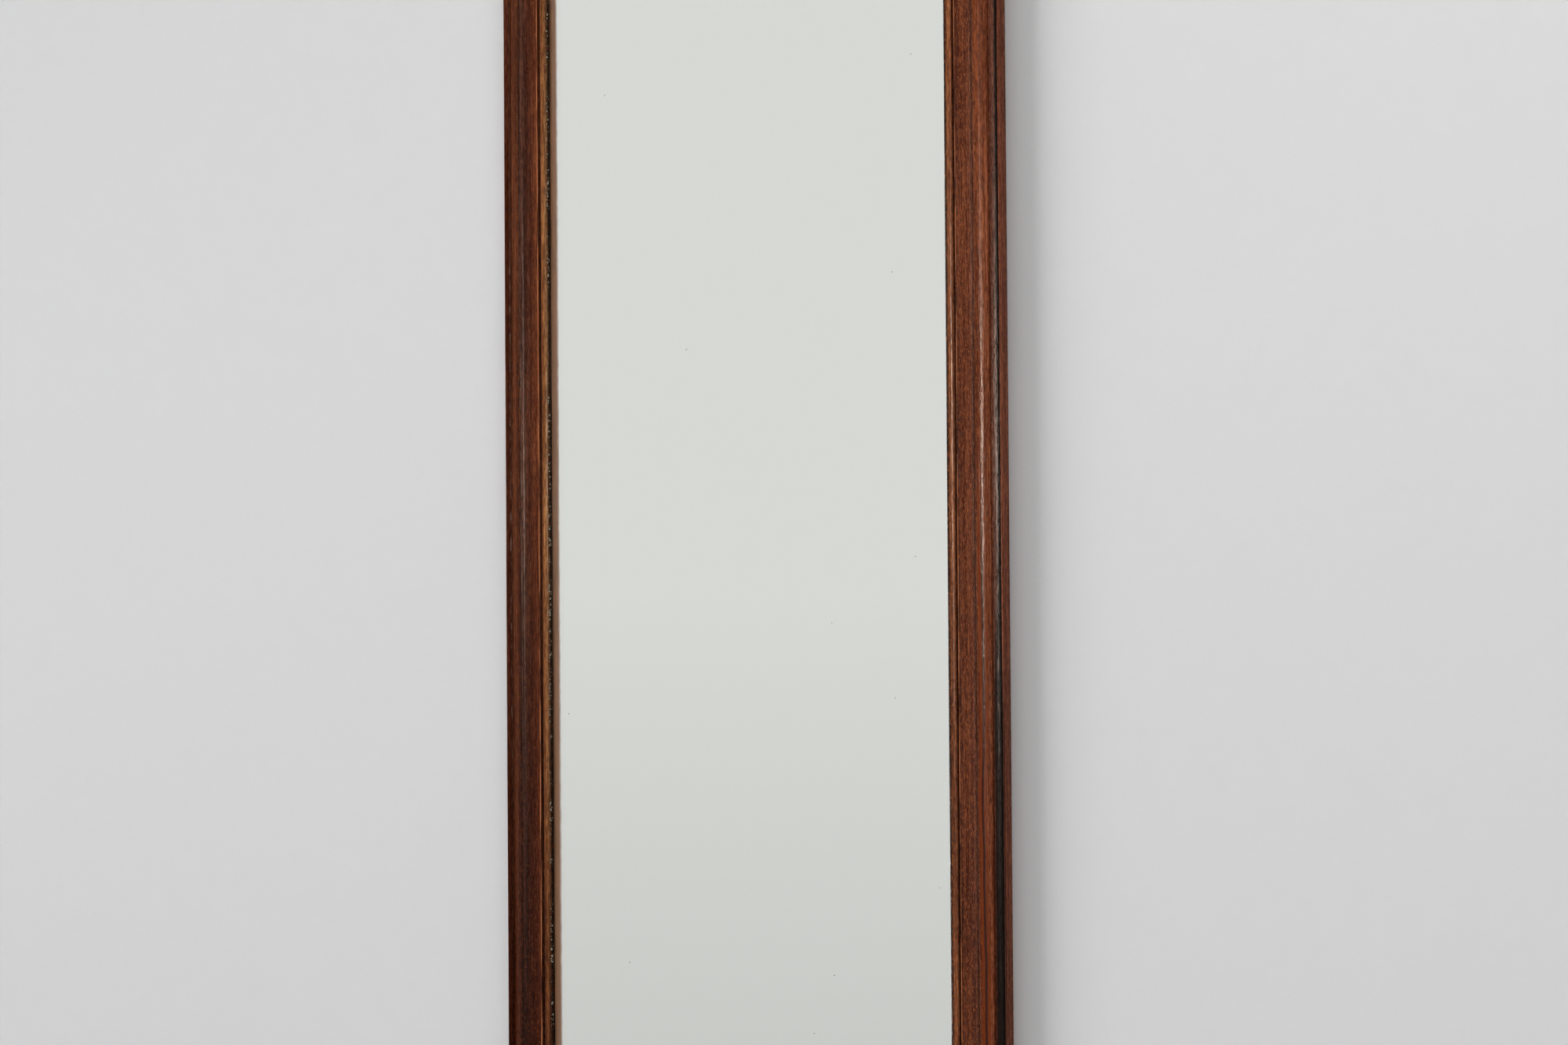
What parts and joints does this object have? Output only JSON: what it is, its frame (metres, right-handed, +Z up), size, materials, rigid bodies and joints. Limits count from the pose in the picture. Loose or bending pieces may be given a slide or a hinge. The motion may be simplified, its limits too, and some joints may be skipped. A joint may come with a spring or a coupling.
{
  "type": "pier mirror",
  "caption": "Tall narrow wall mirror: clear silvered glass in a mitred dark hardwood moulding, boarded behind and fixed flat to the wall by brass plates.",
  "frame": {"origin": "on the flat back of the top rail, in the middle of its width and of the 30 mm wide flat, where it meets the wall", "axes": "+Z up along the mirror's height, +Y out of the back into the wall, so the glass faces -Y; +X to the right of a person facing the glass"},
  "size_m": [0.44, 0.0206, 1.74],
  "materials": {
    "hardwood": "satin polish, worn at the arrises",
    "mirror": "silvered clear glass, lightly foxed",
    "softwood": "bare, darkened with age",
    "nail_steel": "dull, lightly rusted",
    "brass": "aged satin",
    "screw_steel": "dull"
  },
  "bodies": {
    "root": {"stile_left": "hardwood", "stile_right": "hardwood", "rail_top": "hardwood", "rail_bottom": "hardwood", "mitre_key_bottom_left": "hardwood", "mitre_key_top_left": "hardwood", "mitre_key_top_right": "hardwood", "mitre_key_bottom_right": "hardwood", "mirror_plate": "mirror", "setting_block_left": "softwood", "setting_block_right": "softwood", "slip_left_low": "softwood", "slip_left_middle": "softwood", "slip_left_high": "softwood", "slip_top": "softwood", "slip_right_low": "softwood", "slip_right_middle": "softwood", "slip_right_high": "softwood", "slip_bottom": "softwood", "backboard_1": "softwood", "backboard_2": "softwood", "backboard_3": "softwood", "backboard_4": "softwood", "backboard_5": "softwood", "board_1_nail_left_low": "nail_steel", "board_1_nail_left_high": "nail_steel", "board_1_nail_right_low": "nail_steel", "board_1_nail_right_high": "nail_steel", "board_2_nail_left_low": "nail_steel", "board_2_nail_left_high": "nail_steel", "board_2_nail_right_low": "nail_steel", "board_2_nail_right_high": "nail_steel", "board_3_nail_left_low": "nail_steel", "board_3_nail_left_high": "nail_steel", "board_3_nail_right_low": "nail_steel", "board_3_nail_right_high": "nail_steel", "board_4_nail_left_low": "nail_steel", "board_4_nail_left_high": "nail_steel", "board_4_nail_right_low": "nail_steel", "board_4_nail_right_high": "nail_steel", "board_5_nail_left_low": "nail_steel", "board_5_nail_left_high": "nail_steel", "board_5_nail_right_low": "nail_steel", "board_5_nail_right_high": "nail_steel", "wall_plate_top_left": "brass", "wall_plate_top_right": "brass", "wall_plate_bottom_left": "brass", "wall_plate_bottom_right": "brass", "wall_plate_screw_top_left_1": "screw_steel", "wall_plate_screw_top_left_2": "screw_steel", "wall_plate_screw_top_right_1": "screw_steel", "wall_plate_screw_top_right_2": "screw_steel", "wall_plate_screw_bottom_left_1": "screw_steel", "wall_plate_screw_bottom_left_2": "screw_steel", "wall_plate_screw_bottom_right_1": "screw_steel", "wall_plate_screw_bottom_right_2": "screw_steel"}
  },
  "joints": []
}
